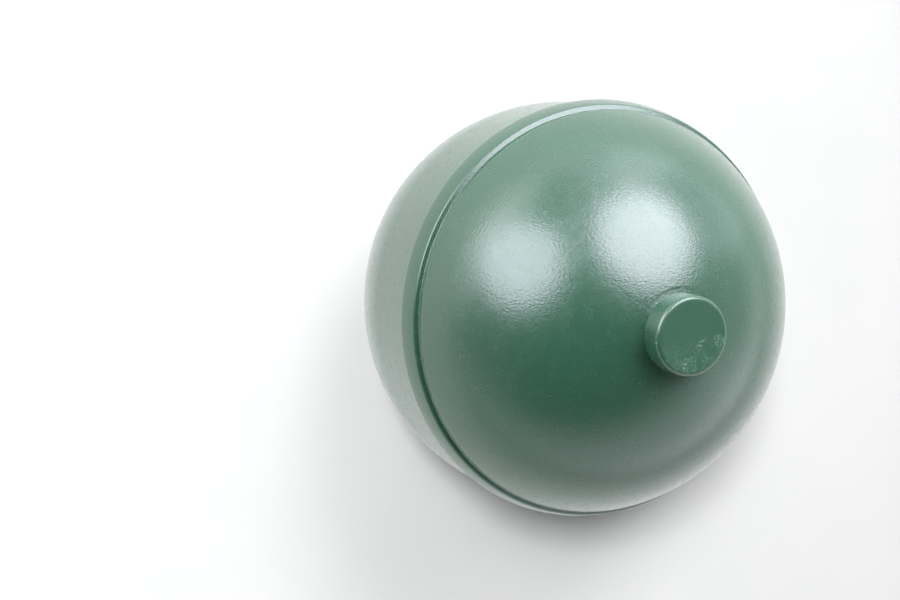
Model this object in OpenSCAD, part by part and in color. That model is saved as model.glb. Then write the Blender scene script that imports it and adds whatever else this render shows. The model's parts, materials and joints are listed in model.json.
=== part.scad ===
// Diaphragm accumulator: a welded steel sphere with a gas dome, a fluid cup and a rubber diaphragm,
// and with a damper valve in its threaded neck. The neck's end face stands on z = 0, the axis is Z.

/* [Gas dome] */
// outer radius of the dome
dome_r = 52; // [50:0.5:56]
// wall of the dome
dome_wall = 4.5; // [3.5:0.1:5.5]
// height of the seam above the dome's centre
seam_rise = 17.3; // [15:0.1:19]
// hole in the pole, through which the gas goes in
fill_hole_d = 10; // [6:0.5:12]

/* [Fluid cup] */
// wall of the cup
cup_wall = 4.6; // [4:0.1:5.5]
// drop of the bowl's centre below the dome's centre
cup_drop = 6.1; // [2:0.1:12]
// height of the collar band at the cup's rim
collar_h = 4.4; // [3:0.1:6]
// how far the band stands proud of the dome's sphere
collar_proud = 0.4; // [0.1:0.05:1]
// step from the band's rear edge in to the cup
collar_step = 0.8; // [0.4:0.1:1.4]

/* [Seam] */
// gap between the two rims, filled by the weld
seam_gap = 1.0; // [0.6:0.1:1.6]
// how far the weld lies under the dome's rim
weld_under = 0.1; // [0.05:0.05:0.4]
// height of the weld's toe on the collar
weld_toe = 0.1; // [0.05:0.05:0.2]
// chamfer on the collar's lip of the groove
lip = 0.4; // [0.2:0.05:0.5]

/* [Charging stub] */
// diameter of the stub
stub_d = 17.9; // [14:0.1:20]
// height of the stub above its spot face
stub_h = 5.7; // [4:0.1:9]
// chamfer on the stub's top edge
stub_chamfer = 0.6; // [0.2:0.05:1]
// length of the spigot in the hole
spigot_l = 3; // [2:0.1:3]
// width of the weld fillet at the stub's foot
foot_w = 0.7; // [0.5:0.1:1.6]

/* [Neck] */
// major diameter of the thread
thread_d = 38; // [34:0.5:40]
// length of the threaded part
thread_len = 9.4; // [8:0.1:12]
// chamfer on the thread's end
thread_chamfer = 1.0; // [0.5:0.1:1.5]
// diameter of the seal's seat
seat_d = 36.4; // [32:0.1:36.6]
// diameter of the boss that the seal bears on
boss_d = 44; // [43:0.5:48]
// height of the boss up to the bowl
boss_h = 3.9; // [3:0.1:6]
// fillet from the boss to the bowl
boss_fillet = 3; // [1:0.5:5]
// bore for the damper
bore_d = 25; // [24.5:0.1:28]
// port between the damper and the cup
port_d = 21; // [20:0.5:23]
// lip over the damper that the port goes through
lip_t = 1.6; // [1:0.1:2.5]
// chamfer on the bore's mouth
mouth_chamfer = 0.5; // [0.2:0.1:0.8]

/* [Neck seal] */
// radial width of the seal
seal_w = 2.0; // [1.5:0.1:2.4]
// height of the seal
seal_h = 2.4; // [1.8:0.1:3]

/* [Diaphragm] */
// thickness of the rubber
rubber_t = 1.8; // [1.2:0.1:2.4]
// height of the bead
bead_h = 4.2; // [3:0.1:6]
// width of the ledge under the bead
ledge_w = 1.7; // [1:0.1:2.2]
// diameter of the button
button_d = 28; // [24:0.5:34]
// thickness of the button
button_t = 2.2; // [1.5:0.1:3]

/* [Clamp ring] */
// height of the ring above the bead
ring_h = 7.3; // [5:0.1:9]
// thickness of the skirt inside the bead
skirt_t = 0.9; // [0.6:0.1:1.5]
// gap left below the skirt
skirt_lift = 1.2; // [0.6:0.1:2]

/* [Damper] */
// thickness of a leaf shim
shim_t = 0.3; // [0.2:0.05:0.4]
// how much less the radius of each leaf is than that of the one before
shim_step = 0.6; // [0.3:0.1:0.8]
// thickness of a support washer
washer_t = 0.8; // [0.5:0.1:1]
// diameter of the support washers
washer_d = 8.6; // [8:0.1:8.8]
// diameter of the bolt
bolt_d = 6; // [5:0.1:6.4]
// bleed hole through the bolt
bleed_d = 1.4; // [0.8:0.1:2]
// height of the bolt's head
head_h = 2.1; // [1.6:0.1:2.4]
// height of the nut
nut_h = 2.4; // [1.8:0.1:2.6]
// width across flats of head and nut
hex_af = 8; // [7.5:0.1:8.4]
// pitch circle of the bump ports
bump_pcd = 12; // [11.8:0.1:12.4]
// pitch circle of the rebound ports
rebound_pcd = 17.4; // [17:0.1:17.6]
// diameter of a port
hole_d = 2; // [1.4:0.1:2.2]
// ports in each row
hole_n = 4; // [3:1:6]
// wall of the damper round its recesses
damper_rim = 2.0; // [1.8:0.1:2.1]
// thickness of the snap ring
snap_t = 1.2; // [0.8:0.1:1.5]
// radial width of the snap ring
snap_w = 2.0; // [1.8:0.1:2.4]
// depth of the snap ring's groove
snap_depth = 1.0; // [0.6:0.1:1.2]
// distance of the snap ring from the neck's end
snap_inset = 1.9; // [1.4:0.1:2.4]

/* [Fits] */
// gap between pieces that stand inside one another
fit = 0.3; // [0.15:0.05:0.4]
// gap of the snap ring in its groove
snap_fit = 0.05; // [0.02:0.01:0.1]

/* [Hidden] */
$fn = 56;
eps = 0.01;
thread_r = thread_d / 2;
seat_r = seat_d / 2;
boss_r = boss_d / 2;
bore_r = bore_d / 2;
port_r = port_d / 2;
stub_r = stub_d / 2;
fill_r = fill_hole_d / 2;
button_r = button_d / 2;

// radii of the band, the cup and what stands in it
band_r = dome_r + collar_proud;
band_rise = seam_rise - seam_gap / 2 - collar_h;
band_edge_r = sqrt(pow(band_r, 2) - pow(band_rise, 2));
cup_r = band_edge_r - collar_step;
cup_in_r = cup_r - cup_wall;
bead_seat_r = cup_in_r + ledge_w;
bead_r = bead_seat_r - fit;
skin_r = cup_in_r - fit;
skin_in_r = skin_r - rubber_t;
skirt_r = skin_in_r - fit;
ring_in_r = skirt_r - skirt_t;
spot_r = stub_r + foot_w + 0.2;
foot_r = stub_r + foot_w;

// heights, counted from the neck's end
boss_z = thread_len + seal_h + 0.2;
bowl_z = boss_z + boss_h + sqrt(pow(cup_r, 2) - pow(boss_r, 2));
dome_z = bowl_z + cup_drop;
collar_top_z = dome_z + seam_rise - seam_gap / 2;
collar_z = collar_top_z - collar_h;
rim_z = collar_top_z + seam_gap;
bead_top_z = rim_z - ring_h;
ledge_z = bead_top_z - bead_h;
spot_z = dome_z + sqrt(pow(dome_r, 2) - pow(spot_r, 2));
stub_z = spot_z + stub_h;

// the damper, from the lip of the port down to the snap ring
damper_top_z = bowl_z - sqrt(pow(cup_in_r, 2) - pow(port_r, 2)) - lip_t;
damper_z = snap_inset + snap_t;
stack_t = 3 * shim_t + washer_t;
web_z = damper_z + head_h + stack_t;
web_top_z = damper_top_z - nut_h - stack_t;
damper_r = bore_r - fit;
recess_r = damper_r - damper_rim;
shaft_hole_r = bolt_d / 2 + fit;
bump_shim_r = (bump_pcd + hole_d) / 2 + 0.5;
rebound_shim_r = recess_r - fit;
hex_r = hex_af / 2 / cos(30);

PAINT = [0.07, 0.24, 0.17];
STEEL = [0.62, 0.63, 0.64];
RUBBER = [0.08, 0.08, 0.09];

// profile helpers: a ball on the axis and a rectangle from one radius and height to another
module ball(r, z)
    translate([0, z])
        circle(r);

module ring2d(r0, r1, z0, z1)
    translate([r0, z0])
        square([r1 - r0, z1 - z0]);

// evenly spaced ports on a pitch circle
module ports(pcd, d, z0, z1, turn = 0)
    for (i = [0 : hole_n - 1])
        rotate([0, 0, turn + i * 360 / hole_n])
            translate([pcd / 2, 0, z0])
                cylinder(d = d, h = z1 - z0, $fn = 24);

module gas_shell()
    color(PAINT)
        rotate_extrude()
            difference() {
                intersection() {
                    ball(dome_r, dome_z);
                    ring2d(0, dome_r, rim_z, spot_z);
                }
                ball(dome_r - dome_wall, dome_z);
                ring2d(-1, fill_r, dome_z, spot_z + 1);
            }

// outline of the cup with its collar, boss and neck, before it is hollowed
module cup_outline() {
    intersection() {
        ball(cup_r, bowl_z);
        ring2d(0, cup_r, boss_z, bowl_z);
    }
    ring2d(0, cup_r, bowl_z, collar_top_z);
    intersection() {
        ball(band_r, dome_z);
        ring2d(0, band_r, collar_z, collar_top_z);
    }
    ring2d(0, boss_r, boss_z, boss_z + boss_h + boss_fillet);
    boss_root();
    ring2d(0, seat_r, thread_len - eps, boss_z + eps);
    polygon([
        [0, 0],
        [thread_r - thread_chamfer, 0],
        [thread_r, thread_chamfer],
        [thread_r, thread_len - thread_chamfer],
        [thread_r - thread_chamfer / 2, thread_len],
        [0, thread_len]
    ]);
}

// fillet between the boss and the bowl: a circle that touches both
fillet_x = boss_r + boss_fillet;
fillet_z = bowl_z - sqrt(pow(cup_r + boss_fillet, 2) - pow(fillet_x, 2));
touch = cup_r / (cup_r + boss_fillet);
module boss_root()
    difference() {
        polygon([
            [boss_r - 1, fillet_z],
            [fillet_x, fillet_z],
            [fillet_x * touch, bowl_z + (fillet_z - bowl_z) * touch],
            [boss_r - 1, bowl_z - cup_in_r + 4]
        ]);
        translate([fillet_x, fillet_z])
            circle(boss_fillet);
    }

module fluid_shell()
    color(PAINT)
        rotate_extrude()
            difference() {
                cup_outline();
                intersection() {
                    ball(cup_in_r, bowl_z);
                    ring2d(0, cup_in_r, bowl_z - cup_in_r - 1, bowl_z);
                }
                ring2d(0, cup_in_r, bowl_z, rim_z);
                ring2d(0, bead_seat_r, ledge_z, rim_z);
                ring2d(0, port_r, -1, bowl_z);
                ring2d(0, bore_r, -1, damper_top_z);
                ring2d(0, bore_r + snap_depth, snap_inset - snap_fit, damper_z + snap_fit);
                polygon([
                    [0, -1],
                    [bore_r + mouth_chamfer + 1, -1],
                    [bore_r, mouth_chamfer],
                    [0, mouth_chamfer]
                ]);
                collar_lip();
            }

// chamfer on the collar's lip of the groove
collar_lip_r = sqrt(pow(band_r, 2) - pow(collar_top_z - dome_z, 2));
module collar_lip()
    polygon([
        [collar_lip_r - lip, collar_top_z + 1],
        [collar_lip_r - lip, collar_top_z],
        [collar_lip_r + lip, collar_top_z - 2 * lip],
        [collar_lip_r + 2, collar_top_z + 1]
    ]);

// weld: fills the gap and slopes down from the dome's rim to the collar's lip
rim_r = sqrt(pow(dome_r, 2) - pow(rim_z - dome_z, 2));
module weld_seam()
    color(PAINT)
        rotate_extrude()
            polygon([
                [bead_seat_r + eps, collar_top_z],
                [collar_lip_r - lip, collar_top_z],
                [collar_lip_r - lip, collar_top_z + weld_toe],
                [rim_r - weld_under, collar_top_z + 0.6 * seam_gap],
                [rim_r - weld_under, rim_z],
                [bead_seat_r + eps, rim_z]
            ]);

module fill_plug()
    color(PAINT)
        rotate_extrude()
            polygon([
                [0, spot_z - spigot_l],
                [fill_r - fit - 0.5, spot_z - spigot_l],
                [fill_r - fit, spot_z - spigot_l + 0.5],
                [fill_r - fit, spot_z],
                [stub_r, spot_z],
                [stub_r, stub_z - stub_chamfer],
                [stub_r - stub_chamfer, stub_z],
                [0, stub_z]
            ]);

module plug_weld()
    color(PAINT)
        rotate_extrude()
            difference() {
                ring2d(stub_r + eps, foot_r, spot_z, spot_z + foot_w);
                translate([foot_r, spot_z + foot_w])
                    circle(foot_w - 0.15);
            }

// rubber cup: the bead, the straight wall and the bowl, raised at its pole to clear the button
lift_r = skin_r - button_t - fit;
module diaphragm()
    color(RUBBER)
        rotate_extrude()
            union() {
                ring2d(skin_in_r, bead_r, ledge_z, bead_top_z);
                ring2d(skin_in_r, skin_r, bowl_z, ledge_z);
                difference() {
                    intersection() {
                        ball(skin_r, bowl_z);
                        ring2d(0, skin_r, bowl_z - skin_r, bowl_z);
                    }
                    difference() {
                        ball(skin_in_r, bowl_z);
                        ring2d(-1, button_r + fit + rubber_t, bowl_z - skin_r, bowl_z - lift_r / 2);
                    }
                    ball(lift_r - rubber_t, bowl_z);
                    difference() {
                        ring2d(-1, button_r + fit, bowl_z - skin_r - 1, bowl_z);
                        ball(lift_r, bowl_z);
                    }
                }
            }

module diaphragm_button()
    color(STEEL)
        rotate_extrude()
            difference() {
                intersection() {
                    ball(skin_r, bowl_z);
                    ring2d(0, button_r, bowl_z - skin_r, bowl_z - skin_r / 2);
                }
                ball(skin_r - button_t, bowl_z);
            }

module clamp_ring()
    color(STEEL)
        rotate_extrude() {
            ring2d(ring_in_r, bead_r, bead_top_z, rim_z);
            ring2d(ring_in_r, skirt_r, ledge_z + skirt_lift, bead_top_z + eps);
        }

module damper_body()
    color(STEEL)
        difference() {
            rotate_extrude()
                difference() {
                    ring2d(shaft_hole_r, damper_r, damper_z, damper_top_z);
                    ring2d(0, recess_r, damper_z - 1, web_z);
                    ring2d(0, recess_r, web_top_z, damper_top_z + 1);
                }
            ports(bump_pcd, hole_d, web_z - 1, web_top_z + 1);
            ports(rebound_pcd, hole_d, web_z - 1, web_top_z + 1, 180 / hole_n);
        }

module damper_bolt()
    color(STEEL)
        difference() {
            union() {
                translate([0, 0, damper_z])
                    cylinder(r = hex_r, h = head_h, $fn = 6);
                translate([0, 0, damper_z + head_h - eps])
                    cylinder(d = bolt_d, h = damper_top_z - damper_z - head_h + eps, $fn = 32);
            }
            translate([0, 0, damper_z - 1])
                cylinder(d = bleed_d, h = damper_top_z - damper_z + 2, $fn = 24);
        }

module damper_nut()
    color(STEEL)
        translate([0, 0, damper_top_z - nut_h])
            difference() {
                cylinder(r = hex_r, h = nut_h, $fn = 6);
                translate([0, 0, -1])
                    cylinder(r = shaft_hole_r, h = nut_h + 2, $fn = 32);
            }

module leaf(r, z)
    color(STEEL)
        translate([0, 0, z])
            difference() {
                cylinder(r = r, h = shim_t, $fn = 48);
                translate([0, 0, -1])
                    cylinder(r = shaft_hole_r, h = shim_t + 2, $fn = 32);
            }

// a bump leaf lies on the web's top, each one smaller than the one under it
module bump_leaf(i)
    leaf(bump_shim_r - i * shim_step, web_top_z + i * shim_t);

// a rebound leaf lies under the web, with windows that leave the bump ports open
module rebound_leaf(i)
    color(STEEL)
        difference() {
            leaf(rebound_shim_r - i * shim_step / 2, web_z - (i + 1) * shim_t);
            ports(bump_pcd, hole_d + 1, web_z - 4 * shim_t, web_z + 1);
        }

module bump_shim_1()
    bump_leaf(0);

module bump_shim_2()
    bump_leaf(1);

module bump_shim_3()
    bump_leaf(2);

module rebound_shim_1()
    rebound_leaf(0);

module rebound_shim_2()
    rebound_leaf(1);

module rebound_shim_3()
    rebound_leaf(2);

module washer(z)
    color(STEEL)
        translate([0, 0, z])
            difference() {
                cylinder(d = washer_d, h = washer_t, $fn = 32);
                translate([0, 0, -1])
                    cylinder(r = shaft_hole_r, h = washer_t + 2, $fn = 32);
            }

module bump_washer()
    washer(web_top_z + 3 * shim_t);

module rebound_washer()
    washer(web_z - 3 * shim_t - washer_t);

module snap_ring()
    color(STEEL)
        difference() {
            rotate_extrude()
                ring2d(bore_r + snap_depth - fit - snap_w, bore_r + snap_depth - fit, snap_inset, damper_z);
            translate([0, -snap_w, 0])
                cube([bore_r + 2 * snap_depth, 2 * snap_w, damper_z + 1]);
        }

module neck_seal()
    color(RUBBER)
        rotate_extrude()
            ring2d(seat_r + fit, seat_r + fit + seal_w, boss_z - seal_h, boss_z);

gas_shell();
fluid_shell();
weld_seam();
fill_plug();
plug_weld();
diaphragm();
diaphragm_button();
clamp_ring();
damper_body();
damper_bolt();
damper_nut();
bump_shim_1();
bump_shim_2();
bump_shim_3();
bump_washer();
rebound_shim_1();
rebound_shim_2();
rebound_shim_3();
rebound_washer();
snap_ring();
neck_seal();
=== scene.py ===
"""Looks of the diaphragm accumulator: shells, weld, stub, thread, diaphragm, floor, light and camera."""

import json
import math

import bpy
import numpy as np
from mathutils import Matrix, Vector

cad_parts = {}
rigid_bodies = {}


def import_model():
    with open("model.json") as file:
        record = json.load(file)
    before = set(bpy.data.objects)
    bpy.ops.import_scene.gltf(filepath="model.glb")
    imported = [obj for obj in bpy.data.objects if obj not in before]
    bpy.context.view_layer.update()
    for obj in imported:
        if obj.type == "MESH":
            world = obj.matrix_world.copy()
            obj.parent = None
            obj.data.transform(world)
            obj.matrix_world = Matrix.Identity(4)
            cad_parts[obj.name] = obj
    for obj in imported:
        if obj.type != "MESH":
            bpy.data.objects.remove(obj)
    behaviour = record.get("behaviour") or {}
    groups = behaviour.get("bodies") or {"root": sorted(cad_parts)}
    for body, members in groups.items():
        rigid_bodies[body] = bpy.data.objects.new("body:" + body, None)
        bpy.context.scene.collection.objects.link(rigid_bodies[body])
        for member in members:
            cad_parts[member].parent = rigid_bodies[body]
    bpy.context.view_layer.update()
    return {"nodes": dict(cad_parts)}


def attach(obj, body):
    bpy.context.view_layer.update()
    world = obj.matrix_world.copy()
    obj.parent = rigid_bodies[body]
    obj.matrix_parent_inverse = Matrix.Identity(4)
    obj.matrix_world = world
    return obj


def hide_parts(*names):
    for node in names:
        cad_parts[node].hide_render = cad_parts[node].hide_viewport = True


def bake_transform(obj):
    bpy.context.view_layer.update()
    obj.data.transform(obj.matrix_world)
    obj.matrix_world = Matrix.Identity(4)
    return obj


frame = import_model()
nodes = frame["nodes"]

# Sizes in millimetres, as in the part's source
MM = 0.001
DOME_R = 52.0
DOME_WALL = 4.5
SEAM_RISE = 17.3
FILL_R = 5.0
CUP_WALL = 4.6
CUP_DROP = 6.1
COLLAR_H = 4.4
COLLAR_PROUD = 0.4
COLLAR_STEP = 0.8
SEAM_GAP = 1.0
STUB_R = 17.9 / 2
STUB_H = 5.7
SPIGOT_L = 3.0
SPIGOT_CHAMFER = 0.5
FOOT_W = 0.7
FOOT_EDGE = 0.2
THREAD_R = 19.0
THREAD_LEN = 9.4
THREAD_CHAMFER = 1.0
THREAD_PITCH = 1.5
SEAT_R = 18.2
BOSS_R = 22.0
BOSS_H = 3.9
BOSS_FILLET = 3.0
BORE_R = 12.5
PORT_R = 10.5
LIP_T = 1.6
MOUTH_CHAMFER = 0.5
SEAL_W = 2.0
SEAL_H = 2.4
SEAL_GAP = 0.2
RUBBER_T = 1.8
BEAD_H = 4.2
LEDGE_W = 1.7
BUTTON_R = 14.0
BUTTON_T = 2.2
RING_H = 7.3
SNAP_T = 1.2
SNAP_DEPTH = 1.0
SNAP_INSET = 1.9
SNAP_FIT = 0.05
FIT = 0.3

# Places that follow from them
BAND_R = DOME_R + COLLAR_PROUD
BAND_RISE = SEAM_RISE - SEAM_GAP / 2 - COLLAR_H
CUP_R = math.sqrt(BAND_R**2 - BAND_RISE**2) - COLLAR_STEP
CUP_IN_R = CUP_R - CUP_WALL
BEAD_SEAT_R = CUP_IN_R + LEDGE_W
SKIN_R = CUP_IN_R - FIT
SKIN_IN_R = SKIN_R - RUBBER_T
BOSS_Z = THREAD_LEN + SEAL_H + SEAL_GAP
BOWL_Z = BOSS_Z + BOSS_H + math.sqrt(CUP_R**2 - BOSS_R**2)
DOME_Z = BOWL_Z + CUP_DROP
COLLAR_TOP_Z = DOME_Z + SEAM_RISE - SEAM_GAP / 2
COLLAR_Z = COLLAR_TOP_Z - COLLAR_H
RIM_Z = COLLAR_TOP_Z + SEAM_GAP
LEDGE_Z = RIM_Z - RING_H - BEAD_H
SPOT_R = STUB_R + FOOT_W + FOOT_EDGE
SPOT_Z = DOME_Z + math.sqrt(DOME_R**2 - SPOT_R**2)
STUB_Z = SPOT_Z + STUB_H
DAMPER_TOP_Z = BOWL_Z - math.sqrt(CUP_IN_R**2 - PORT_R**2) - LIP_T
DAMPER_Z = SNAP_INSET + SNAP_T

# Trims of the looks: the groove is a little higher than in the solids, and the band wider and prouder
RIM_LIFT = 0.5
LIP_LIFT = 0.75
BACK_DROP = 0.25
LIP_PROUD = 0.25
GROOVE_Z = RIM_Z + RIM_LIFT
GROOVE_R = math.sqrt(DOME_R**2 - (GROOVE_Z - DOME_Z) ** 2)
BAND_TOP_R = BAND_R + LIP_PROUD
BAND_BACK_Z = COLLAR_Z - BACK_DROP

# Gap between faces that would otherwise lie on one another
SKIM = 0.02
# Smallest radius that is more than a point on the axis, and how near two radii have to be to be the same
TINY = 1e-6


# Profiles and solids of revolution


def arc(cx, cz, r, a0, a1, n):
    """Points on a circle in the (radius, height) plane, from angle a0 to a1 in radians."""
    return [(cx + r * math.cos(a), cz + r * math.sin(a)) for a in np.linspace(a0, a1, n)]


def line(p, q, n):
    """Points from p to q, without q."""
    return [(p[0] + (q[0] - p[0]) * t, p[1] + (q[1] - p[1]) * t) for t in np.arange(n) / n]


def lathe(name, profile, segments=192, closed=True, shape=None, slots=None, sharp=32):
    """Turns a profile of (radius, height) points about Z.
    shape moves the points of a row, and slots gives each band of faces its material slot."""
    turn = np.linspace(0, 2 * math.pi, segments, endpoint=False)
    verts, rings = [], []
    for r, z in profile:
        if r < TINY:
            rings.append([len(verts)])
            verts.append((0.0, 0.0, z * MM))
            continue
        rr, zz = np.full(segments, r), np.full(segments, z)
        if shape is not None:
            rr, zz = shape(rr, zz, turn)
        rings.append(list(range(len(verts), len(verts) + segments)))
        verts.extend(zip(rr * np.cos(turn) * MM, rr * np.sin(turn) * MM, zz * MM))
    faces, bands = [], []
    last = len(rings) if closed else len(rings) - 1
    for i in range(last):
        a, b = rings[i], rings[(i + 1) % len(rings)]
        for k in range(segments):
            m = (k + 1) % segments
            if len(a) == 1 and len(b) == 1:
                continue
            if len(a) == 1:
                faces.append((a[0], b[m], b[k]))
            elif len(b) == 1:
                faces.append((a[k], a[m], b[0]))
            else:
                faces.append((a[k], a[m], b[m], b[k]))
            bands.append(i)
    mesh = bpy.data.meshes.new(name)
    mesh.from_pydata(verts, [], faces)
    mesh.validate()
    if slots is not None:
        for poly, band in zip(mesh.polygons, bands):
            poly.material_index = slots[band]
    mesh.shade_smooth()
    mesh.set_sharp_from_angle(angle=math.radians(sharp))
    obj = bpy.data.objects.new(name, mesh)
    bpy.context.scene.collection.objects.link(obj)
    return obj


def corner(cz, big_r, plane_z, side, q, n=6):
    """Round of radius q between the sphere (0, cz, big_r), from inside, and a plane that it meets.
    side is 1 when the solid lies above the plane. Points run from the plane to the sphere."""
    z = plane_z + side * q
    x = math.sqrt((big_r - q) ** 2 - (z - cz) ** 2)
    end = math.atan2(z - cz, x)
    return arc(x, z, q, -side * math.pi / 2, end, n), end


def bend(p0, p1, p2, p3, n):
    """Points on a cubic curve."""
    t = np.linspace(0, 1, n)[:, None]
    a, b, c, d = (np.array(p) for p in (p0, p1, p2, p3))
    curve = (1 - t) ** 3 * a + 3 * t * (1 - t) ** 2 * b + 3 * t**2 * (1 - t) * c + t**3 * d
    return [tuple(q) for q in curve]


def ledge_round(inner, tilt, q, n):
    """Round of radius q between a ledge, which slopes down from a point by the tilt, and the collar's sphere.
    Points run from the ledge to the sphere, in the (radius, height) plane."""
    up, out = math.cos(tilt), math.sin(tilt)
    far = inner[0] * out + (inner[1] - DOME_Z) * up - q
    slide = math.sqrt((BAND_TOP_R - q) ** 2 - far**2)
    x, z = far * out + slide * up, far * up - slide * out
    end = math.atan2(z, x)
    return arc(x, z + DOME_Z, q, math.pi / 2 - tilt, end, n), end


# Nodes of the materials


def material(name):
    """A material with an empty shader: gives it, its tree, the shader and the object's coordinates."""
    m = bpy.data.materials.new(name)
    m.use_nodes = True
    t = m.node_tree
    t.nodes.clear()
    out = t.nodes.new("ShaderNodeOutputMaterial")
    bsdf = t.nodes.new("ShaderNodeBsdfPrincipled")
    t.links.new(bsdf.outputs["BSDF"], out.inputs["Surface"])
    coord = t.nodes.new("ShaderNodeTexCoord")
    return m, t, bsdf, coord.outputs["Object"]


def add(t, kind, inputs=None, **props):
    """A node with its properties and its inputs, which may be values or another node's socket."""
    n = t.nodes.new(kind)
    for k, v in props.items():
        setattr(n, k, v)
    for k, v in (inputs or {}).items():
        if isinstance(v, bpy.types.NodeSocket):
            t.links.new(v, n.inputs[k])
        else:
            n.inputs[k].default_value = v
    return n


def noise(t, vec, scale, detail=3.0, rough=0.5):
    ins = {"Vector": vec, "Scale": scale, "Detail": detail, "Roughness": rough}
    return add(t, "ShaderNodeTexNoise", ins).outputs["Fac"]


def ramp(t, fac, lo, hi, a=0.0, b=1.0):
    """Goes smoothly from a to b while fac goes from lo to hi."""
    ins = {"Value": fac, "From Min": lo, "From Max": hi, "To Min": a, "To Max": b}
    return add(t, "ShaderNodeMapRange", ins, interpolation_type="SMOOTHSTEP").outputs["Result"]


def math_node(t, op, a, b=0.0):
    return add(t, "ShaderNodeMath", {0: a, 1: b}, operation=op).outputs["Value"]


def times(t, a, b):
    return math_node(t, "MULTIPLY", a, b)


def larger(t, a, b):
    return math_node(t, "MAXIMUM", a, b)


def mix_color(t, fac, a, b):
    # the colour sockets of the mix node are its inputs 6 and 7 and its output 2
    return add(t, "ShaderNodeMix", {0: fac, 6: a, 7: b}, data_type="RGBA").outputs[2]


def bump(t, height, distance, strength=1.0, under=None):
    ins = {"Height": height, "Distance": distance, "Strength": strength}
    if under is not None:
        ins["Normal"] = under
    return add(t, "ShaderNodeBump", ins).outputs["Normal"]


def near(t, vec, spot, inner, outer):
    """One within the inner distance of a spot and nought beyond the outer one, in metres."""
    d = add(t, "ShaderNodeVectorMath", {0: vec, 1: spot}, operation="DISTANCE").outputs["Value"]
    return ramp(t, d, inner, outer, 1.0, 0.0)


LINE_CORE = 0.2
LINE_ENDS = (0.4, 0.6)


def along(t, vec, start, end, width):
    """One on the line from start to end on the stub's end face, fading out over the width on both sides."""
    way = Vector((end[0] - start[0], end[1] - start[1], 0.0))
    side = Vector((-way.y, way.x, 0.0)).normalized()
    off = add(t, "ShaderNodeVectorMath", {0: vec, 1: side}, operation="DOT_PRODUCT").outputs["Value"]
    off = math_node(t, "ABSOLUTE", math_node(t, "SUBTRACT", off, side.x * start[0] + side.y * start[1]))
    mid = ((start[0] + end[0]) / 2, (start[1] + end[1]) / 2, STUB_Z * MM)
    inner, outer = (way.length * share for share in LINE_ENDS)
    return times(t, ramp(t, off, LINE_CORE * width, width, 1.0, 0.0), near(t, vec, mid, inner, outer))


# Green enamel

GREEN = (0.0109, 0.0356, 0.0222, 1.0)
GREEN_DEEP = (0.0100, 0.0331, 0.0204, 1.0)
CHALK = (0.16, 0.26, 0.21, 1.0)
CLOUD_SCALE = 28.0
PEEL_SCALE = 1950.0
PEEL_DRAWN = (0.68, 1.0, 1.0)
GRAIN_SCALE = 3200.0
GRAIN_SHARE = 0.27
PATCH_SCALE = 420.0
GLOSS_RANGE = (0.23, 0.28)
SPECULAR = 0.5

# scuffs on the end face of the stub: places in metres, shares from nought to one
FACE_DEPTH = (0.12, 0.04)
RUB_LINE = ((-0.0032, -0.0072), (0.0032, -0.0006), 0.0011)
RUB_SPOTS = ((0.0068, -0.0012), (-0.0022, -0.0070))
RUB_REACH = (0.0004, 0.0022)
HAZE_FROM, HAZE_TO = -0.008, 0.001
HAZE_RANGE = (0.42, 0.04)
FLECK_SCALE = 2100.0
CHIP_AT = (-0.00892, -0.0008, (STUB_Z - 0.55) * MM)
CHIP_REACH = (0.0001, 0.0004)
CHIP_WEAR = 0.6
CHIP_DEPTH = 0.00015
WEAR = 0.32
FACE_ROUGHER = 0.12
FACE_COAT = 0.1
FACE_SPECULAR = 0.3


def scuffs(t, vec):
    """The stub's end face, the wear on it and a chip in its edge, each from nought to one."""
    xyz = add(t, "ShaderNodeSeparateXYZ", {"Vector": vec}).outputs
    low, high = FACE_DEPTH
    face = ramp(t, xyz["Z"], (STUB_Z - low) * MM, (STUB_Z - high) * MM)
    rub = along(t, vec, *RUB_LINE)
    for x, y in RUB_SPOTS:
        rub = larger(t, rub, near(t, vec, (x, y, STUB_Z * MM), *RUB_REACH))
    haze = ramp(t, xyz["Y"], HAZE_FROM, HAZE_TO, *HAZE_RANGE)
    flecks = ramp(t, noise(t, vec, FLECK_SCALE, 3.0, 0.65), 0.46, 0.60)
    patch = ramp(t, noise(t, vec, PATCH_SCALE, 3.0, 0.6), 0.36, 0.56)
    wear = times(t, larger(t, rub, haze), times(t, flecks, patch))
    chip = near(t, vec, CHIP_AT, *CHIP_REACH)
    return face, larger(t, times(t, wear, face), times(t, chip, CHIP_WEAR)), chip


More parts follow.
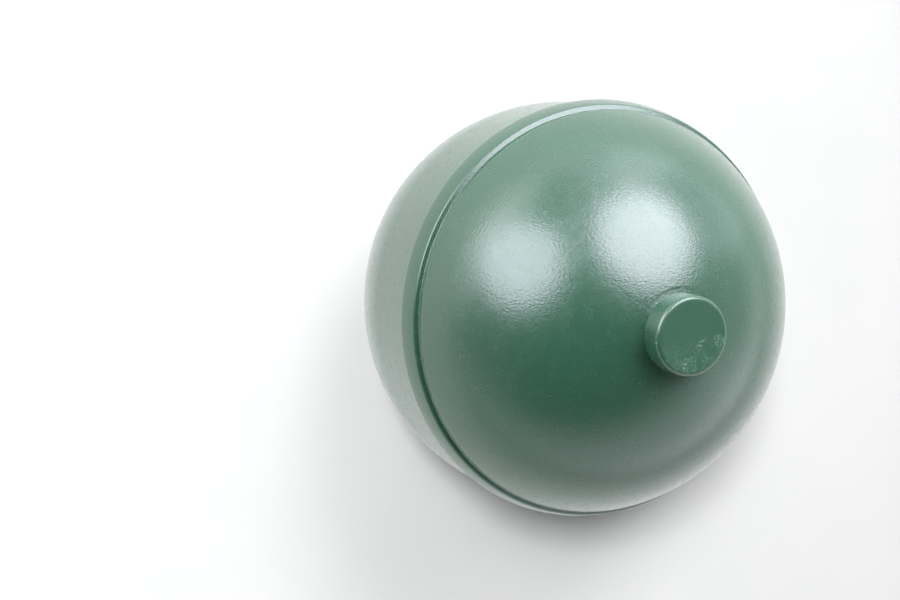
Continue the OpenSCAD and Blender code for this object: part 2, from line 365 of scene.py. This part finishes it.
def green_paint(name, peel_depth, coat=1.0, scuffed=False):
    """Semi-gloss enamel: drawn-out orange peel, a finer grain and faint clouds of tone.
    The scuffed one has chalky rubs and a chip on the end face of the stub."""
    m, t, bsdf, vec = material(name)
    cloud = noise(t, vec, CLOUD_SCALE, 4.0, 0.55)
    color = mix_color(t, ramp(t, cloud, 0.35, 0.65), GREEN_DEEP, GREEN)
    drawn = add(t, "ShaderNodeMapping", {"Vector": vec, "Scale": PEEL_DRAWN}).outputs["Vector"]
    peel = noise(t, drawn, PEEL_SCALE, 2.0)
    grain = noise(t, vec, GRAIN_SCALE, 2.0)
    rough = ramp(t, noise(t, vec, PATCH_SCALE, 3.0, 0.6), 0.3, 0.7, *GLOSS_RANGE)
    normal = bump(t, peel, peel_depth)
    normal = bump(t, grain, GRAIN_SHARE * peel_depth, under=normal)
    bsdf.inputs["Coat Weight"].default_value = coat
    bsdf.inputs["Specular IOR Level"].default_value = SPECULAR
    if scuffed:
        face, wear, chip = scuffs(t, vec)
        color = mix_color(t, times(t, wear, WEAR), color, CHALK)
        rough = math_node(t, "ADD", rough, times(t, face, FACE_ROUGHER))
        t.links.new(ramp(t, face, 0.0, 1.0, coat, FACE_COAT), bsdf.inputs["Coat Weight"])
        t.links.new(ramp(t, face, 0.0, 1.0, SPECULAR, FACE_SPECULAR), bsdf.inputs["Specular IOR Level"])
        normal = bump(t, chip, -CHIP_DEPTH, under=normal)
    t.links.new(color, bsdf.inputs["Base Color"])
    for socket in ("Roughness", "Coat Roughness"):
        t.links.new(rough, bsdf.inputs[socket])
    for socket in ("Normal", "Coat Normal"):
        t.links.new(normal, bsdf.inputs[socket])
    return m


# Steel and rubber

TOOL_MARKS = 5200.0
TOOL_DEPTH = 0.00001
OIL_SCALE = 130.0
BLOOM_SCALE = 160.0
MOULD_SCALE = 2400.0
MOULD_DEPTH = 0.00002
RUBBER_TONE = (0.018, 0.018, 0.020, 1.0)
RUBBER_PALE = (0.040, 0.041, 0.044, 1.0)


def bare_steel(name, tone, dark, turned, gloss):
    """Machined steel: rings of tool marks round Z, blotches of oil and a little tarnish."""
    m, t, bsdf, vec = material(name)
    xyz = add(t, "ShaderNodeSeparateXYZ", {"Vector": vec}).outputs
    squares = math_node(t, "ADD", times(t, xyz["X"], xyz["X"]), times(t, xyz["Y"], xyz["Y"]))
    rad = math_node(t, "SQRT", squares)
    flat = add(t, "ShaderNodeCombineXYZ", {"X": rad, "Y": xyz["Z"]}).outputs["Vector"]
    rings = noise(t, flat, TOOL_MARKS, 2.0, 0.6)
    blot = noise(t, vec, OIL_SCALE, 4.0, 0.6)
    t.links.new(mix_color(t, ramp(t, blot, 0.38, 0.68), tone, dark), bsdf.inputs["Base Color"])
    t.links.new(ramp(t, rings, 0.3, 0.7, gloss - 0.06, gloss + 0.1), bsdf.inputs["Roughness"])
    bsdf.inputs["Metallic"].default_value = 1.0
    t.links.new(bump(t, rings, TOOL_DEPTH * turned, 0.6), bsdf.inputs["Normal"])
    return m


def rubber(name):
    """Moulded nitrile: dull, with a bloom of paler patches and a fine grain."""
    m, t, bsdf, vec = material(name)
    bloom = noise(t, vec, BLOOM_SCALE, 4.0, 0.6)
    t.links.new(mix_color(t, ramp(t, bloom, 0.4, 0.7), RUBBER_TONE, RUBBER_PALE), bsdf.inputs["Base Color"])
    t.links.new(ramp(t, bloom, 0.3, 0.7, 0.48, 0.66), bsdf.inputs["Roughness"])
    t.links.new(bump(t, noise(t, vec, MOULD_SCALE, 3.0, 0.6), MOULD_DEPTH, 0.5), bsdf.inputs["Normal"])
    return m


paint = green_paint("green_paint", 0.000045)
smooth_paint = green_paint("green_paint_smooth", 0.000014, coat=0.94)
stub_paint = green_paint("green_paint_scuffed", 0.000016, scuffed=True)
steel = bare_steel("turned_steel", (0.42, 0.42, 0.43, 1.0), (0.20, 0.20, 0.21, 1.0), 1.0, 0.36)
phosphate = bare_steel("phosphated_steel", (0.16, 0.16, 0.165, 1.0), (0.07, 0.07, 0.075, 1.0), 0.6, 0.44)
spring_steel = bare_steel("spring_steel", (0.30, 0.31, 0.34, 1.0), (0.16, 0.17, 0.20, 1.0), 0.5, 0.28)
black_rubber = rubber("nitrile_rubber")


def dress(obj, body, slot, replaced, *mats):
    """Gives a piece its materials and its body, and hides the solids that it stands for. The slot is not
    used.
    """
    for m in mats:
        obj.data.materials.append(m)
    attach(obj, body)
    if replaced:
        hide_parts(*replaced)


# Gas dome: stepped rim with a rounded lip, outer sphere, spot face, hole and inner sphere
DOME_LIP = 0.25
STEP_FOOT = 0.5
STEP_TOP = 0.45
SHELL_TURNS = 224
lip, lip_end = corner(DOME_Z, DOME_R, GROOVE_Z, 1, DOME_LIP)
lip_r = lip[0][0]
in_r = DOME_R - DOME_WALL
in_rim = math.asin((RIM_Z - DOME_Z) / in_r)
in_top = math.acos(FILL_R / in_r)
spot_a = math.acos(SPOT_R / DOME_R)
dome_profile = (
    line((in_r * math.cos(in_rim), RIM_Z), (lip_r - STEP_FOOT, RIM_Z), 4)
    + [(lip_r - STEP_FOOT, RIM_Z), (lip_r - STEP_TOP, GROOVE_Z)]
    + lip
    + arc(0, DOME_Z, DOME_R, lip_end, spot_a, 72)[1:]
    + line((SPOT_R - SKIM, SPOT_Z), (FILL_R, SPOT_Z), 4)
    + [(FILL_R, SPOT_Z)]
    + arc(0, DOME_Z, in_r, in_top, in_rim, 48)[:-1]
)
dome = lathe("gas_dome", dome_profile, SHELL_TURNS)
dress(dome, "vessel", "green_paint", ["gas_shell"], paint)

# Fluid cup: collar band, straight wall, bowl, boss, threaded neck, bore, port and the ledge for the bead
THREAD_DEPTH = 0.6134 * THREAD_PITCH
THREAD_ROWS = 84
THREAD_LAST = 0.2
TOOTH_SLOPE = 1.2
TOOTH_FLAT = 0.1
FADE_IN_AT, FADE_IN = 0.25, 1.2
FADE_OUT_AT, FADE_OUT = 0.3, 1.0


def cut_thread(r, z, turn):
    """Cuts the helix into the rows that lie on the neck's major diameter, fading out at both ends."""
    if abs(r[0] - THREAD_R) > TINY or z[0] > THREAD_LEN - THREAD_LAST:
        return r, z
    phase = (z / THREAD_PITCH - turn / (2 * math.pi)) % 1.0
    tooth = np.clip(TOOTH_SLOPE * np.abs(2 * phase - 1) - TOOTH_FLAT, 0, 1)
    fade = np.clip((z - FADE_IN_AT) / FADE_IN, 0, 1)
    fade = fade * np.clip((THREAD_LEN - FADE_OUT_AT - z) / FADE_OUT, 0, 1)
    lead = np.minimum(THREAD_R, THREAD_R - THREAD_CHAMFER + z)
    return np.minimum(lead, THREAD_R - THREAD_DEPTH * tooth * fade), z


# the groove's ledge slopes down from under the dome's rim to the collar's band
LEDGE_TILT = math.radians(15)
WALL_IN = 0.2
VALLEY_DROP = 0.10
VALLEY = (GROOVE_R - WALL_IN, COLLAR_TOP_Z + LIP_LIFT - VALLEY_DROP)
LEDGE_SINK = 0.03
BULGE = 0.10
CRISP_LIP = 0.55
SOFT_LIP = 1.25
SOFT_AT = math.radians(235)
SOFT_SPAN = math.radians(95)
BACK_ROUND = 0.35


def sunk(points, a):
    """Points moved in by the bulge along the angle a, so that the lip's round meets the fuller band."""
    return [(x - BULGE * math.cos(a), z - BULGE * math.sin(a)) for x, z in points]


def full_band(start, end, n):
    """The collar's band from angle to angle, proud at its lip and a little fuller in the middle."""
    out = []
    for a, u in zip(np.linspace(start, end, n), np.linspace(0, 1, n)):
        r = (BAND_TOP_R - BULGE) * (1 - u) + BAND_R * u + 2 * BULGE * u * (1 - u)
        out.append((r * math.cos(a), DOME_Z + r * math.sin(a)))
    return out


rear_edge, rear_end = corner(DOME_Z, BAND_R, BAND_BACK_Z, 1, BACK_ROUND, 9)


def collar(q):
    """The collar's lip, rounded by q, and its band."""
    points, end = ledge_round((VALLEY[0], VALLEY[1] - LEDGE_SINK), LEDGE_TILT, q, 9)
    return sunk(points, end) + full_band(end, rear_end, 18)[1:-1]


def between(crisp, soft, r, z, turn):
    """Moves a row of the crisp profile towards the soft one, most at one side of the seam."""
    off = np.abs((turn - SOFT_AT + math.pi) % (2 * math.pi) - math.pi)
    u = 1 - np.clip(off / SOFT_SPAN, 0, 1)
    share = u**2 * (3 - 2 * u)
    soft_r, soft_z = soft[crisp.index((r[0], z[0]))]
    return r + share * (soft_r - r), z + share * (soft_z - z)


crisp_collar, soft_collar = collar(CRISP_LIP), collar(SOFT_LIP)


def cup_shape(r, z, turn):
    """The cup's rows: the collar's lip varies round the seam, and the neck has its thread."""
    if (r[0], z[0]) in crisp_collar:
        return between(crisp_collar, soft_collar, r, z, turn)
    return cut_thread(r, z, turn)


WELD_SEAT_Z = COLLAR_TOP_Z - 0.6
SEAT_RUN = 0.12
SEAT_DROP = 0.2
STEP_FILLET = 0.3
WALL_START = 0.3
BOSS_EDGE = ((0.0, 0.9), (0.12, 0.45), (0.45, 0.12), (0.9, 0.0))
BOSS_FACE_IN = 1.2
ROOT_EDGE = (0.5, 0.05)
THREAD_TOP = 0.25
FACE_IN = 0.1
fil_x = BOSS_R + BOSS_FILLET
fil_z = BOWL_Z - math.sqrt((CUP_R + BOSS_FILLET) ** 2 - fil_x**2)
fil_a = math.atan2(BOWL_Z - fil_z, -fil_x)
bowl_end = math.atan2(fil_z - BOWL_Z, fil_x)
end_r = THREAD_R - THREAD_CHAMFER
outer = (
    line((BEAD_SEAT_R, WELD_SEAT_Z), (VALLEY[0], WELD_SEAT_Z), 3)
    + [(VALLEY[0] + SEAT_RUN, VALLEY[1] - SEAT_DROP)]
    + crisp_collar
    + rear_edge[::-1]
    + arc(CUP_R + STEP_FILLET, BAND_BACK_Z - STEP_FILLET, STEP_FILLET, math.pi / 2, math.pi, 5)
    + line((CUP_R, BAND_BACK_Z - STEP_FILLET - WALL_START), (CUP_R, BOWL_Z), 14)
    + arc(0, BOWL_Z, CUP_R, 0, bowl_end, 64)
    + arc(fil_x, fil_z, BOSS_FILLET, fil_a, math.pi, 9)[1:]
    + [(BOSS_R - x, BOSS_Z + z) for x, z in BOSS_EDGE]
)
neck = (
    line((BOSS_R - BOSS_FACE_IN, BOSS_Z), (SEAT_R, BOSS_Z), 4)
    + line((SEAT_R, BOSS_Z), (SEAT_R, THREAD_LEN), 4)
    + [(SEAT_R, THREAD_LEN), (THREAD_R - ROOT_EDGE[0], THREAD_LEN - ROOT_EDGE[1])]
    + [(THREAD_R, z) for z in np.linspace(THREAD_LEN - THREAD_TOP, SKIM, THREAD_ROWS)]
    + [(end_r, 0.0)]
    + line((end_r - FACE_IN, 0.0), (BORE_R + MOUTH_CHAMFER, 0.0), 5)
    + [(BORE_R + MOUTH_CHAMFER, 0.0), (BORE_R, MOUTH_CHAMFER)]
    + [(BORE_R, SNAP_INSET - SNAP_FIT), (BORE_R + SNAP_DEPTH, SNAP_INSET - SNAP_FIT)]
    + [(BORE_R + SNAP_DEPTH, DAMPER_Z + SNAP_FIT), (BORE_R, DAMPER_Z + SNAP_FIT)]
    + [(BORE_R, DAMPER_TOP_Z), (PORT_R, DAMPER_TOP_Z)]
)
port_a = -math.acos(PORT_R / CUP_IN_R)
inner = arc(0, BOWL_Z, CUP_IN_R, port_a, 0, 40) + [(CUP_IN_R, LEDGE_Z), (BEAD_SEAT_R, LEDGE_Z)]
cup_profile = outer + neck + inner
cup_slots = [0] * len(outer) + [1] * (len(neck) + len(inner))
cup = lathe("fluid_cup", cup_profile, SHELL_TURNS, shape=cup_shape, slots=cup_slots)
dress(cup, "vessel", "green_paint", ["fluid_shell"], smooth_paint, phosphate)

# Weld in the groove: from under the dome's rim down to the ledge, with a slight ripple
SOFT_FILL = 0.9
SOFT_TOE = 0.1
TOE_SHORT = 0.08
KNEE_RUN = 0.12
FILL_RUN = 0.2
FILL_RISE = 0.15
WALL_PULL = 0.35
KNEE_PULL = 0.12
WELD_LAP = 0.1
RIPPLES = ((0.018, 131, 0.0), (0.016, 59, 1.3), (0.014, 23, 0.0))


def weld_face(toe_at, fill):
    """The weld's open face, which ends just short of the lip's round at toe_at.
    The fill rounds the corner between the wall and the ledge."""
    slope, toe_r = math.tan(LEDGE_TILT), toe_at - TOE_SHORT
    knee_r = VALLEY[0] + KNEE_RUN + FILL_RUN * fill
    knee = (knee_r, VALLEY[1] - (knee_r - VALLEY[0]) * slope + FILL_RISE * fill)
    toe = (toe_r, VALLEY[1] - (toe_r - VALLEY[0]) * slope)
    wall = bend(
        (GROOVE_R - WALL_IN, GROOVE_Z),
        (VALLEY[0], GROOVE_Z - WALL_PULL),
        (VALLEY[0] + FILL_RUN * fill, VALLEY[1] + KNEE_PULL + fill),
        knee,
        9,
    )
    return wall + line(knee, toe, 4)[1:] + [toe]


crisp_face = weld_face(crisp_collar[0][0], 0.0)
soft_face = weld_face(soft_collar[0][0] + SOFT_TOE, SOFT_FILL)


def weld_shape(r, z, turn):
    """The weld's face follows the lip, and has a slight ripple."""
    if (r[0], z[0]) not in crisp_face:
        return r, z
    r, z = between(crisp_face, soft_face, r, z, turn)
    return r + sum(height * np.sin(waves * turn + start) for height, waves, start in RIPPLES), z


weld_profile = (
    [(BEAD_SEAT_R + SKIM, WELD_SEAT_Z + SKIM), (BEAD_SEAT_R + SKIM, RIM_Z)]
    + [(lip_r - STEP_FOOT + SKIM, RIM_Z), (lip_r - STEP_TOP + SKIM, GROOVE_Z)]
    + [(lip_r + WELD_LAP, GROOVE_Z + SKIM)]
    + crisp_face
    + [(VALLEY[0] + WELD_LAP, WELD_SEAT_Z + SKIM)]
)
weld = lathe("seam_weld", weld_profile, 384, shape=weld_shape, sharp=60)
dress(weld, "vessel", "green_paint", ["weld_seam"], smooth_paint)

# Charging stub with a rolled edge and a spigot in the dome's hole
STUB_EDGE = 1.05
FACE_START = 0.6
SIDE_START = 0.2
STUB_TURNS = 128
spigot_r = FILL_R - FIT
spigot_z = SPOT_Z - SPIGOT_L
stub_profile = (
    [(0.0, STUB_Z)]
    + line((FACE_START, STUB_Z), (STUB_R - STUB_EDGE, STUB_Z), 9)
    + arc(STUB_R - STUB_EDGE, STUB_Z - STUB_EDGE, STUB_EDGE, math.pi / 2, 0, 11)
    + line((STUB_R, STUB_Z - STUB_EDGE - SIDE_START), (STUB_R, SPOT_Z), 8)
    + [(STUB_R, SPOT_Z), (spigot_r, SPOT_Z), (spigot_r, spigot_z + SPIGOT_CHAMFER)]
    + [(spigot_r - SPIGOT_CHAMFER, spigot_z), (0.0, spigot_z)]
)
stub = lathe("charging_stub", stub_profile, STUB_TURNS, closed=False)
dress(stub, "vessel", "green_paint", ["fill_plug"], stub_paint)

# Weld round the stub's foot, which carries the dome's own curve in to the stub
FOOT_LAP = 0.03
foot_in, foot_out = math.acos((STUB_R - SKIM) / DOME_R), math.acos((SPOT_R + FOOT_LAP) / DOME_R)
foot_profile = (
    [(STUB_R - SKIM, SPOT_Z - SKIM)]
    + arc(0, DOME_Z, DOME_R, foot_in, foot_out, 10)
    + [(SPOT_R, SPOT_Z - SKIM)]
)
foot = lathe("stub_weld", foot_profile, STUB_TURNS, sharp=70)
dress(foot, "vessel", "green_paint", ["plug_weld"], paint)

# Seal at the root of the neck, with softened corners
SEAL_ROUND = 0.25
seal_in, seal_out = SEAT_R + FIT + SEAL_ROUND, SEAT_R + FIT + SEAL_W - SEAL_ROUND
seal_lo, seal_hi = BOSS_Z - SEAL_H + SEAL_ROUND, BOSS_Z - SEAL_ROUND
seal_profile = (
    arc(seal_out, seal_lo, SEAL_ROUND, -math.pi / 2, 0, 5)
    + arc(seal_out, seal_hi, SEAL_ROUND, 0, math.pi / 2, 5)
    + arc(seal_in, seal_hi, SEAL_ROUND, math.pi / 2, math.pi, 5)
    + arc(seal_in, seal_lo, SEAL_ROUND, math.pi, 1.5 * math.pi, 5)
)
seal = lathe("root_seal", seal_profile, 160, sharp=50)
dress(seal, "vessel", "rubber", ["neck_seal"], black_rubber)

# Diaphragm: bead, wall and bowl, raised over the button. It follows the button from its pole outwards.
BEAD_EDGE = 0.4
WALL_RISE = 1.0
lift_r = SKIN_R - BUTTON_T - FIT
pocket, hump = BUTTON_R + FIT, BUTTON_R + FIT + RUBBER_T
a_pocket_low = -math.acos(pocket / SKIN_R)
a_pocket = -math.acos(pocket / lift_r)
a_hump_low = -math.acos(hump / SKIN_IN_R)
a_hump = -math.acos(hump / (lift_r - RUBBER_T))
bead_out, bead_top = BEAD_SEAT_R - FIT, LEDGE_Z + BEAD_H
skin_profile = (
    arc(0, BOWL_Z, lift_r, -math.pi / 2, a_pocket, 16)
    + arc(0, BOWL_Z, SKIN_R, a_pocket_low, 0, 56)
    + line((SKIN_R, BOWL_Z + WALL_RISE), (SKIN_R, LEDGE_Z), 8)
    + [(SKIN_R, LEDGE_Z), (bead_out - BEAD_EDGE, LEDGE_Z)]
    + [(bead_out, LEDGE_Z + BEAD_EDGE), (bead_out, bead_top - BEAD_EDGE)]
    + [(bead_out - BEAD_EDGE, bead_top), (SKIN_IN_R + BEAD_EDGE, bead_top), (SKIN_IN_R, bead_top - BEAD_EDGE)]
    + line((SKIN_IN_R, LEDGE_Z), (SKIN_IN_R, BOWL_Z), 8)
    + arc(0, BOWL_Z, SKIN_IN_R, 0, a_hump_low, 56)
    + arc(0, BOWL_Z, lift_r - RUBBER_T, a_hump, -math.pi / 2, 16)
)
skin_profile[0] = (0.0, skin_profile[0][1])
skin_profile[-1] = (0.0, skin_profile[-1][1])
skin = lathe("rubber_diaphragm", skin_profile, 160, closed=False, sharp=45)
skin.data.materials.append(black_rubber)
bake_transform(skin)
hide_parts("diaphragm")

# The other solids keep their own shape and get their finish
TURNED = ("clamp_ring", "damper_body", "damper_bolt", "damper_nut", "bump_washer", "rebound_washer")
SPRUNG = ("bump_shim_1", "bump_shim_2", "bump_shim_3", "rebound_shim_1", "rebound_shim_2", "rebound_shim_3")
FINISHES = ((steel, TURNED + ("diaphragm_button",)), (spring_steel, SPRUNG + ("snap_ring",)))
for finish, names in FINISHES:
    for name in names:
        nodes[name].data.materials.clear()
        nodes[name].data.materials.append(finish)

# Camera: the photograph's view along the dome, from a fit of its outlines
CENTRE = Vector((0, 0, DOME_Z * MM))
CAM_RIGHT = Vector((0.9208, 0.0, 0.3900))
CAM_UP = Vector((0.0524, 0.9909, -0.1238))
CAM_AHEAD = Vector((0.3864, -0.1344, -0.9125))
# the camera's place from the dome's centre, in radii of the dome
CAM_AT = Vector((-3.5179, 1.0523, 6.7883))
LENS_MM, SENSOR_MM = 64.0, 36.0
cam_data = bpy.data.cameras.new("camera")
cam_data.lens = LENS_MM
cam_data.sensor_width = SENSOR_MM
cam_data.clip_start = 0.02
cam = bpy.data.objects.new("camera", cam_data)
rot = Matrix((CAM_RIGHT, CAM_UP, -CAM_AHEAD)).transposed()
cam.matrix_world = Matrix.Translation(CENTRE + DOME_R * MM * CAM_AT) @ rot.to_4x4()
bpy.context.scene.collection.objects.link(cam)
bpy.context.scene.camera = cam

# Floor: pale matt sheet with a faint mottle
FLOOR_HALF = 3.0
FLOOR_TONES = ((0.60, 0.605, 0.605, 1), (0.63, 0.63, 0.63, 1))
MOTTLE_SCALE = 9.0
floor_mat, ft, fb, fvec = material("pale_floor")
mottle = ramp(ft, noise(ft, fvec, MOTTLE_SCALE, 5.0, 0.6), 0.3, 0.7)
ft.links.new(mix_color(ft, mottle, *FLOOR_TONES), fb.inputs["Base Color"])
fb.inputs["Roughness"].default_value = 0.9
fb.inputs["Specular IOR Level"].default_value = 0.2
floor_mesh = bpy.data.meshes.new("floor")
floor_corners = [(x * FLOOR_HALF, y * FLOOR_HALF, 0) for x, y in ((-1, -1), (1, -1), (1, 1), (-1, 1))]
floor_mesh.from_pydata(floor_corners, [], [(0, 1, 2, 3)])
floor_mesh.materials.append(floor_mat)
floor = bpy.data.objects.new("floor", floor_mesh)
bpy.context.scene.collection.objects.link(floor)

# Light: cool soft boxes that the paint mirrors, broad fills that it doesn't, and lights for the floor alone
COOL = (1.0, 1.0, 1.12)
WHITE = (1.0, 1.0, 1.0)
PART_AWAY, FLOOR_AWAY = 1.2, 1.5
# a picture 900 pixels wide: its focal length and its middle, in pixels
FOCAL_PX = 1600.0
VIEW_MID = (450.0, 300.0)


def seen(right, up, back):
    """A direction given as the camera sees it: to the right, up, and back to the camera."""
    return (CAM_RIGHT * right + CAM_UP * up - CAM_AHEAD * back).normalized()


def on_floor(px, py):
    """The spot on the floor that the view shows at this place, in pixels."""
    ray = CAM_RIGHT * (px - VIEW_MID[0]) - CAM_UP * (py - VIEW_MID[1]) + CAM_AHEAD * FOCAL_PX
    eye = cam.matrix_world.translation
    return eye - ray * (eye.z / ray.z)


def shadow_at(px, py):
    """Direction of a light that puts the part's shadow at this place in the view, in pixels."""
    return CENTRE - on_floor(px, py)


def soft_box(
    name, direction, distance, width, watts, lit, color=WHITE, gloss=True, diffuse=True, beneath=False
):
    """A round light that faces the part and lights one collection.
    One from beneath is shaded only by that collection, and so not by the floor."""
    data = bpy.data.lights.new(name, "AREA")
    data.shape = "DISK"
    data.size = width
    data.energy = watts
    data.color = color
    obj = bpy.data.objects.new(name, data)
    way = Vector(direction).normalized()
    obj.location = CENTRE + way * distance
    obj.rotation_euler = way.to_track_quat("Z", "Y").to_euler()
    obj.visible_camera = False
    obj.visible_glossy = gloss
    obj.visible_diffuse = diffuse
    obj.light_linking.receiver_collection = lit
    if beneath:
        obj.light_linking.blocker_collection = lit
    bpy.context.scene.collection.objects.link(obj)


part_lit = bpy.data.collections.new("part_lit")
floor_lit = bpy.data.collections.new("floor_lit")
for obj in bpy.context.scene.objects:
    if obj.type == "MESH":
        (floor_lit if obj is floor else part_lit).objects.link(obj)

# each with its direction as seen, its width in metres and its watts
PART_LIGHTS = (
    ("box_left", (-0.49, 0.34, 0.80), 0.94, 14.5, {"color": COOL, "diffuse": False}),
    ("box_right", (0.53, 0.52, 0.67), 1.10, 22.0, {"color": COOL}),
    ("box_over", (0.32, 0.66, 0.68), 1.40, 3.6, {"color": COOL}),
    ("box_far", (0.15, 0.98, -0.10), 1.30, 5.8, {"color": COOL}),
    ("box_far_right", (0.67, 0.72, 0.02), 1.40, 4.8, {"color": COOL}),
    ("fill_top", (0.0, 1.0, 0.1), 2.60, 235.0, {"gloss": False}),
    ("fill_left", (-0.95, -0.2, 0.1), 1.80, 130.0, {"gloss": False}),
    ("fill_right", (0.9, 0.15, 0.1), 1.80, 34.0, {"gloss": False}),
    ("fill_key", (0.60, 0.55, 0.58), 0.70, 10.5, {"gloss": False}),
    ("fill_low", (0.10, -0.88, -0.40), 1.80, 36.0, {"gloss": False, "beneath": True}),
)
for name, way, width, watts, kind in PART_LIGHTS:
    soft_box(name, seen(*way), PART_AWAY, width, watts, part_lit, **kind)

# each with the middle of its shadow in the view, its width in metres and its watts
FLOOR_LIGHTS = (
    ("floor_key", (580, 345), 0.25, 23.1),
    ("floor_top", (580, 375), 0.25, 4.9),
    ("floor_side", (480, 460), 0.50, 8.5),
    ("floor_broad", (480, 500), 1.60, 10.7),
)
for name, spot, width, watts in FLOOR_LIGHTS:
    soft_box(name, shadow_at(*spot), FLOOR_AWAY, width, watts, floor_lit)

# Surround: white walls beside and beyond the part, none above it on the camera's side, and brighter patches
BELOW = (-0.6, -0.1, 0.85, 0.0)
BESIDE = (0.05, 0.55, 1.1, 0.0)
BEYOND = (-0.6, -0.1, 1.6, 0.0)
PATCHES = (((-0.68, 0.73, 0.02), 5.0), ((-0.93, 0.36, 0.02), 3.3), ((0.95, 0.0, -0.15), 0.5))
PATCH_EDGE, PATCH_MID = 0.75, 1.0
BLUER = 1.05
world = bpy.data.worlds.new("surround")
bpy.context.scene.world = world
world.use_nodes = True
wt = world.node_tree
wt.nodes.clear()
w_out = wt.nodes.new("ShaderNodeOutputWorld")
w_bg = wt.nodes.new("ShaderNodeBackground")
wt.links.new(w_bg.outputs["Background"], w_out.inputs["Surface"])
w_dir = add(wt, "ShaderNodeTexCoord").outputs["Generated"]


def toward(*way):
    """How far the surround's direction points this way, as the camera sees it."""
    ins = {0: w_dir, 1: seen(*way)}
    return add(wt, "ShaderNodeVectorMath", ins, operation="DOT_PRODUCT").outputs["Value"]


below = ramp(wt, toward(0.0, 1.0, 0.0), *BELOW)
beside = ramp(wt, toward(0.0, 0.0, 1.0), *BESIDE)
beyond = ramp(wt, toward(0.0, 0.0, 1.0), *BEYOND)
level = math_node(wt, "ADD", times(wt, below, beside), beyond)
for way, bright in PATCHES:
    level = math_node(wt, "ADD", level, ramp(wt, toward(*way), PATCH_EDGE, PATCH_MID, 0.0, bright))
hue = {"Red": level, "Green": level, "Blue": times(wt, level, BLUER)}
wt.links.new(add(wt, "ShaderNodeCombineColor", hue).outputs["Color"], w_bg.inputs["Color"])

bpy.context.scene.view_settings.view_transform = "Standard"
